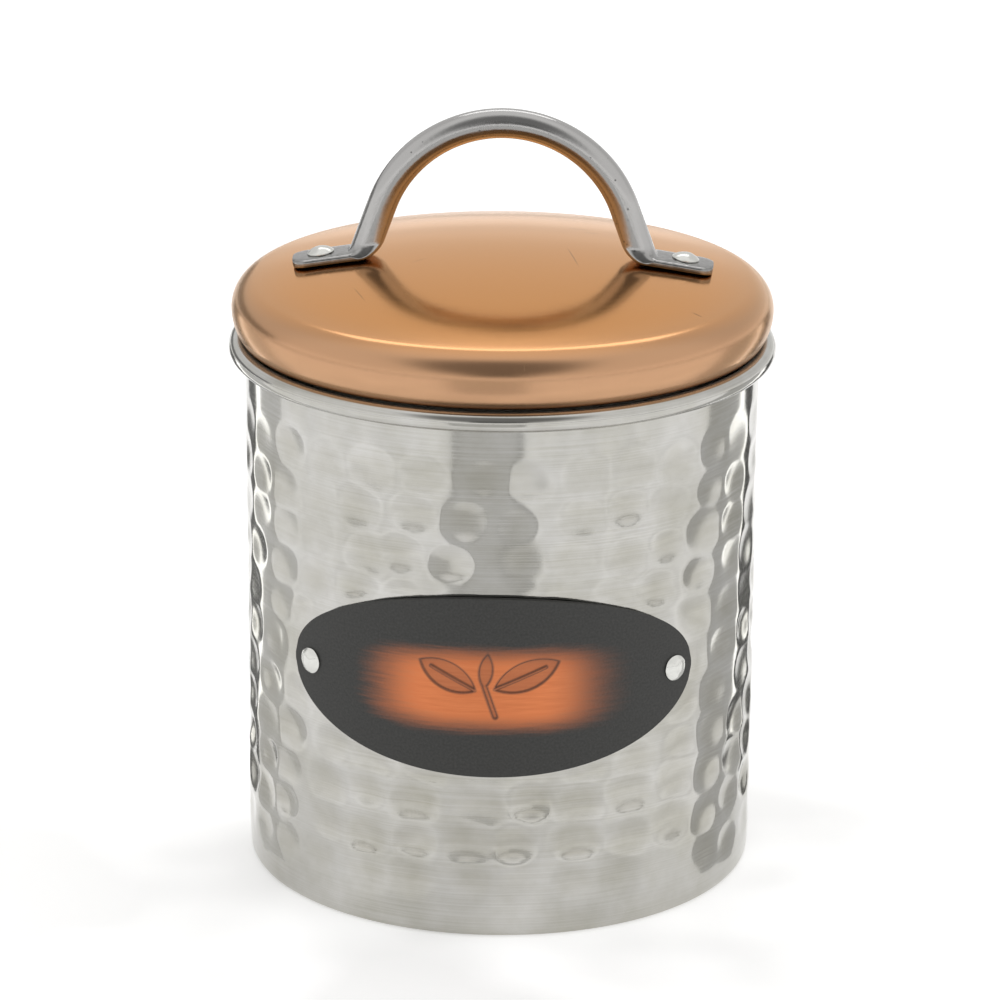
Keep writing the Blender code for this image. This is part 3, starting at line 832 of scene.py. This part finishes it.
def crossing(leg_reach, foot_reach):
    """Where a line along the leg meets a line along the foot."""
    a, b = out(LEG_LEAN), out(foot_tilt)
    across = a.x * b.y - a.y * b.x
    x = (leg_reach * b.y - foot_reach * a.y) / across
    return Vector((x, (foot_reach * a.x - leg_reach * b.x) / across))


def handle_sections():
    """From the top of the arch to a foot's end: upper edge, lower edge, width, squareness."""
    arch_middle = Vector((0, handle_high.z - ROD_DIAMETER / 2 - ARCH_RADIUS))
    crown = Vector((0, crown_middle))
    rod = Vector((ROD_DIAMETER, 2.0))
    foot = Vector((foot_width, FOOT_SQUARE))
    sections = []
    for i in range(ARCH_STEPS + 1):
        lean = LEG_LEAN * i / ARCH_STEPS
        top = arch_middle + out(lean) * (ARCH_RADIUS + ROD_DIAMETER / 2)
        sections.append((top, top - out(lean) * ROD_DIAMETER, *rod))
    leg_top = sections[-1][0].dot(out(LEG_LEAN))
    foot_low = crown.dot(out(foot_tilt)) + crown_radius + FOOT_GAP
    inner = crossing(leg_top + HEEL_INNER, foot_low + FOOT_SHEET + HEEL_INNER)
    outer = crossing(leg_top - ROD_DIAMETER + HEEL_OUTER, foot_low + HEEL_OUTER)
    bend = []
    for i in range(BEND_STEPS + 1):
        share = i / BEND_STEPS
        lean = LEG_LEAN + (foot_tilt - LEG_LEAN) * share
        size = rod.lerp(foot, smooth_step(LEG_SHARE + (1 - LEG_SHARE) * share))
        bend.append((inner - out(lean) * HEEL_INNER, outer - out(lean) * HEEL_OUTER, *size))
    last = sections[-1]
    for i in range(1, LEG_STEPS):
        ends = [a.lerp(b, i / LEG_STEPS) for a, b in zip(last[:2], bend[0][:2])]
        sections.append((*ends, *rod.lerp(foot, smooth_step(LEG_SHARE * i / LEG_STEPS))))
    sections += bend
    along = Vector((cos(foot_tilt), -sin(foot_tilt)))
    rivet = crown + out(foot_tilt) * (crown_radius + FOOT_GAP)
    tip = (handle_high.x - rivet.x) / along.x - FOOT_SHEET * sin(foot_tilt)
    start = (bend[-1][1] - rivet).dot(along)
    for i in range(1, FOOT_STEPS):
        low = rivet + along * (start + (tip - FOOT_ROUND - start) * i / FOOT_STEPS)
        sections.append((low + out(foot_tilt) * FOOT_SHEET, low, *foot))
    for i in range(FOOT_END_STEPS + 1):
        turn = FOOT_END_TURN * i / FOOT_END_STEPS
        low = rivet + along * (tip - FOOT_ROUND * (1 - sin(turn)))
        width = foot_width - 2 * FOOT_ROUND * (1 - cos(turn))
        sections.append((low + out(foot_tilt) * FOOT_SHEET, low, width, foot.y))
    return sections


def section_points(side, top, low, width, square):
    """A superellipse across the rod."""
    middle, lift = (top + low) / 2, (top - low) / 2
    points = []
    for i in range(ROD_SIDES):
        angle = 2 * pi * (i + 0.5) / ROD_SIDES
        c, s = cos(angle), sin(angle)
        size = (abs(c) ** square + abs(s) ** square) ** (-1 / square)
        point = middle + lift * (s * size)
        points.append(Vector((side * point.x, c * size * width / 2, point.y)))
    return points


def extruded(sections):
    """A solid that starts as a face and is extruded section by section."""
    bm = bmesh.new()
    start = [bm.verts.new(point) for point in sections[0]]
    end = bm.faces.new(start)
    for points in sections[1:]:
        end = bmesh.ops.extrude_discrete_faces(bm, faces=[end])["faces"][0]
        for v, point in zip(end.verts, points):
            v.co = point
    bm.faces.new(start)
    bmesh.ops.recalc_face_normals(bm, faces=bm.faces)
    return bm


def drawn_rod():
    """Satin stainless rod, with a grain of about 1 mm and a few small pits."""
    material = new_material("satin_rod")
    place = add_node(material, "TexCoord", out=3)
    grain = add_node(material, "TexNoise", Vector=place, Scale=1100.0, Detail=4.0, Roughness=0.6)
    cloud = add_node(material, "TexNoise", Vector=place, Scale=160.0, Detail=2.0)
    # pits about 0.3 mm across and 3 mm apart
    pits = add_node(material, "TexVoronoi", Vector=place, Scale=330.0)
    pits = add_node(material, "MapRange", Value=pits, From_Min=0.09, From_Max=0.04, To_Min=0.0, To_Max=0.8)
    tint = add_node(
        material, "Mix", {"data_type": "RGBA"}, out=2, i0=pits,
        i6=colour("#B0AFAE"), i7=colour("#2E2D2C"),
    )
    # the feet are painted darker, mottled by the grain: a painted reflection of the dark they face
    split = add_node(material, "SeparateXYZ", Vector=place).node.outputs
    foot_shade = add_node(
        material, "MapRange", {"interpolation_type": "SMOOTHSTEP"}, Value=split["Z"],
        From_Min=foot_shade_height + FOOT_SHADE_FADE, From_Max=foot_shade_height, To_Min=0.0, To_Max=0.75,
    )
    foot_shade_grain = add_node(material, "Math", {"operation": "MULTIPLY"}, i0=foot_shade, i1=grain)
    tint = add_node(
        material, "Mix", {"data_type": "RGBA"}, out=2, i0=foot_shade_grain, i6=tint, i7=colour("#3E3D3B")
    )
    rough = add_node(
        material, "MapRange", Value=cloud, From_Min=0.3, From_Max=0.7, To_Min=0.14, To_Max=0.24
    )
    bump = add_node(material, "Bump", Height=grain, Strength=0.30, Distance=0.00005)
    return dress(material, Base_Color=tint, Metallic=1.0, Roughness=rough, Normal=bump)


half = handle_sections()
rings = [section_points(-1, *section) for section in half[:0:-1]]
rings += [section_points(1, *section) for section in half]
add_piece("arched_handle", extruded(rings), drawn_rod(), "lid", "handle_steel", "handle", sharp=60)


# ------------------------------------------------------------------ the handle's rivets and washers
# The same rivets with fuller heads, closed over washers under the cover.

HANDLE_HEAD_RADIUS = 0.0030
HANDLE_HEAD_RISE = 0.0015
HANDLE_HEAD_FLATS = 0.00008

head_seat = FOOT_SHEET + FOOT_GAP


def handle_rivet_place(side):
    """On the crown's outer face, with Z out of it."""
    point = Vector((side * rivet_reach, 0, crown_middle + cos(foot_tilt) * crown_radius))
    return Matrix.Translation(point) @ Matrix.Rotation(side * foot_tilt, 4, "Y")


for side, word in ((-1, "left"), (1, "right")):
    rivet = rivet_outline(HANDLE_HEAD_RADIUS, HANDLE_HEAD_RISE, head_seat, -LID_SHEET - WASHER_SHEET)
    rivet = planish(spun(rivet, RIVET_STEPS), side * 5, head_seat, HANDLE_HEAD_FLATS)
    washer = spun(washer_outline(-LID_SHEET), RIVET_STEPS)
    add_rivet_and_washer("handle", word, rivet, washer, handle_rivet_place(side), "lid")


# ------------------------------------------------------------------ the studio
# A pale paper floor that glows a little under a white room, one soft box behind and above, and grey, dark
# and bright cards and a dark ring that only reflections see, for the bright metal to mirror.

CAMERA_AZIMUTH = radians(2.2)
CAMERA_REACH = 1.0790
CAMERA_HEIGHT = 0.4452
CAMERA_PITCH = 0.32471
CAMERA_ROLL = 0.00675
CAMERA_YAW = 0.00026
CAMERA_LENS = 183.0
CAMERA_SENSOR = 36.0
FLOOR = 6.0  # half its side
DARK_RING_RADIUS = 1.6
DARK_RING_HEIGHT = 0.05  # how high the dark ring stands
CARD_HEIGHT = 0.002  # above the floor
CARD_BLUE = 0.985  # against its red and green


def stage_piece(name, bm, material):
    """The bmesh as a part of the studio."""
    mesh = bpy.data.meshes.new(name)
    bm.to_mesh(mesh)
    bm.free()
    mesh.materials.append(material)
    piece = bpy.data.objects.new(name, mesh)
    bpy.context.scene.collection.objects.link(piece)
    return piece


def flat_sheet(corners):
    bm = bmesh.new()
    bm.faces.new([bm.verts.new(corner) for corner in corners])
    return bm


def stage_reflected(name, bm, glow):
    """A part of the studio that only reflections see, with its red, green and blue glow."""
    material = dress(
        new_material(name), Base_Color=(0, 0, 0, 1), Roughness=1.0, Specular_IOR_Level=0.0,
        Emission_Color=(*glow, 1), Emission_Strength=1.0,
    )
    piece = stage_piece(name, bm, material)
    piece.visible_camera = False
    piece.visible_diffuse = False
    piece.visible_shadow = False


def add_card(name, corners, glow):
    stage_reflected(name, flat_sheet(corners), (glow, glow, glow * CARD_BLUE))


def floor_card(name, start, end, near, far, glow):
    """A card on the floor between two bearings, in degrees from -Y towards +X. Its sides run out
    from where the wall mirrors each bearing to the camera, so they stand upright in the wall."""
    corners = []
    for bearing, reach in ((start, near), (end, near), (end, far), (start, far)):
        turn = radians(bearing)
        wall = (turn + CAMERA_AZIMUTH) / 2
        across = sin(wall) * wall_radius + sin(turn) * reach
        corners.append((across, -cos(wall) * wall_radius - cos(turn) * reach, CARD_HEIGHT))
    add_card(name, corners, glow)


def add_soft_box(name, place, aim, size, glow):
    data = bpy.data.lights.new(name, "AREA")
    data.shape = "RECTANGLE"
    data.size, data.size_y = size
    data.energy = glow * pi * size[0] * size[1]
    light = bpy.data.objects.new(name, data)
    bpy.context.scene.collection.objects.link(light)
    light.location = place
    light.rotation_mode = "QUATERNION"
    light.rotation_quaternion = (Vector(aim) - Vector(place)).to_track_quat("-Z", "Y")
    light.visible_camera = False


# painted light: the paper glows though it is no lamp, filling its shade round the caddy, a little less close
# to it
glowing_paper = new_material("glowing_paper")
place = add_node(glowing_paper, "TexCoord", out=3)
away = add_node(glowing_paper, "VectorMath", {"operation": "LENGTH"}, out=1, i0=place)
lit = add_node(
    glowing_paper, "MapRange", Value=away, From_Min=0.08, From_Max=0.60, To_Min=0.38, To_Max=0.42
)
# painted light in patches about 70 mm across, nearly lost in the white, which the hammering breaks up
uneven = add_node(glowing_paper, "TexNoise", Vector=place, Scale=14.0, Detail=2.0)
uneven = add_node(glowing_paper, "MapRange", Value=uneven, From_Min=0.42, From_Max=0.66, To_Max=0.22)
lit = add_node(glowing_paper, "Math", {"operation": "ADD"}, i0=lit, i1=uneven)
dress(
    glowing_paper, Base_Color=colour("#E6E6E6"), Roughness=0.9, Specular_IOR_Level=0.1,
    Emission_Color=(1, 1, 1, 1), Emission_Strength=lit,
)
floor = flat_sheet([(-FLOOR, -FLOOR, 0), (FLOOR, -FLOOR, 0), (FLOOR, FLOOR, 0), (-FLOOR, FLOOR, 0)])
stage_piece("floor", floor, glowing_paper)
floor_card("front_card", -16, 9, 0.14, 1.5, 0.76)
floor_card("front_card_left", -20, -16, 0.16, 1.5, 0.68)
floor_card("front_card_right", 9, 12, 0.15, 1.5, 0.60)
floor_card("left_grey", -136, -114, 0.01, 1.4, 0.76)
floor_card("left_strip", -142, -136, 0.09, 1.4, 2.2)
floor_card("left_dark", -156, -142, 0.05, 1.4, 0.18)
floor_card("right_grey", 108, 136, 0.01, 1.4, 0.62)
floor_card("right_strip", 136, 142, 0.10, 1.4, 2.2)
floor_card("right_dark", 142, 155, 0.06, 1.4, 0.12)
# round the camera, and behind the caddy to the left
shade = [(-0.25, -1.2, 0.33), (0.29, -1.2, 0.33), (0.22, -1.2, 0.80), (-0.18, -1.2, 0.80)]
add_card("camera_shade", shade, 0.20)
flag = [(-0.28, 1.1, 0.12), (-1.1, 0.3, 0.12), (-1.1, 0.3, 0.30), (-0.28, 1.1, 0.30)]
add_card("left_flag", flag, 0.25)
add_soft_box("back_strip", (0, 0.70, 1.01), (0, 0, 0.13), (0.8, 0.26), 1.7)

# a thin dark ring all round, which only reflections see: it outlines the highlights in the hollows
edge = bmesh.new()
bmesh.ops.create_circle(edge, segments=64, radius=DARK_RING_RADIUS)
raised = bmesh.ops.extrude_edge_only(edge, edges=edge.edges[:])["geom"]
for v in raised:
    if isinstance(v, bmesh.types.BMVert):
        v.co.z = DARK_RING_HEIGHT
stage_reflected("reflected_dark_ring", edge, (0.40, 0.40, 0.38))

world = bpy.data.worlds.new("pale_room")
world.use_nodes = True
direction = add_node(world, "TexCoord")
toward = add_node(world, "SeparateXYZ", Vector=direction).node.outputs
steps = dict(interpolation_type="SMOOTHSTEP")
# a white room, greyer behind, brighter overhead, and dark round the camera
lifted = add_node(world, "MapRange", steps, Value=toward["Z"], From_Min=0.10, From_Max=0.22)
behind = add_node(world, "MapRange", steps, Value=toward["Y"], From_Min=0.0, From_Max=0.45)
behind = add_node(world, "Math", {"operation": "MULTIPLY"}, i0=behind, i1=lifted)
front = add_node(
    world, "VectorMath", {"operation": "DOT_PRODUCT"}, out=1, i0=direction, i1=(0, -0.72, 0.694)
)
front = add_node(world, "MapRange", steps, Value=front, From_Min=0.76, From_Max=0.96)
front = add_node(world, "Math", {"operation": "MULTIPLY"}, i0=front, i1=lifted)
overhead = add_node(world, "MapRange", steps, Value=toward["Z"], From_Min=0.80, From_Max=0.95)
glow = add_node(world, "Mix", i0=behind, i2=1.0, i3=0.80)
glow = add_node(world, "Mix", i0=overhead, i2=glow, i3=1.06)
glow = add_node(world, "Mix", i0=front, i2=glow, i3=0.26)
# low down it is bright in front and greyer behind, and white again at the floor's far edge
low_glow = add_node(
    world, "MapRange", steps, Value=toward["Y"], From_Min=0.0, From_Max=0.6, To_Min=1.25, To_Max=0.80
)
low = add_node(world, "MapRange", steps, Value=toward["Z"], From_Min=0.18, From_Max=0.08)
glow = add_node(world, "Mix", i0=low, i2=glow, i3=low_glow)
horizon = add_node(world, "MapRange", steps, Value=toward["Z"], From_Min=0.08, From_Max=0.05)
glow = add_node(world, "Mix", i0=horizon, i2=glow, i3=1.10)
background = world.node_tree.nodes["Background"]
feed(world, background, dict(Color=(1.0, 0.995, 0.985, 1), Strength=glow))
bpy.context.scene.world = world

camera_data = bpy.data.cameras.new("camera")
camera_data.lens = CAMERA_LENS
camera_data.sensor_width = CAMERA_SENSOR
camera_data.clip_start = 0.05
camera_data.clip_end = 50
camera = bpy.data.objects.new("camera", camera_data)
bpy.context.scene.collection.objects.link(camera)
stand = (sin(CAMERA_AZIMUTH) * CAMERA_REACH, -cos(CAMERA_AZIMUTH) * CAMERA_REACH, CAMERA_HEIGHT)
heading = Matrix.Rotation(CAMERA_AZIMUTH + CAMERA_YAW, 4, "Z")
pitch = Matrix.Rotation(pi / 2 - CAMERA_PITCH, 4, "X")
roll = Matrix.Rotation(CAMERA_ROLL, 4, "Z")
camera.matrix_world = Matrix.Translation(stand) @ heading @ pitch @ roll
bpy.context.scene.camera = camera
bpy.context.scene.view_settings.view_transform = "Standard"
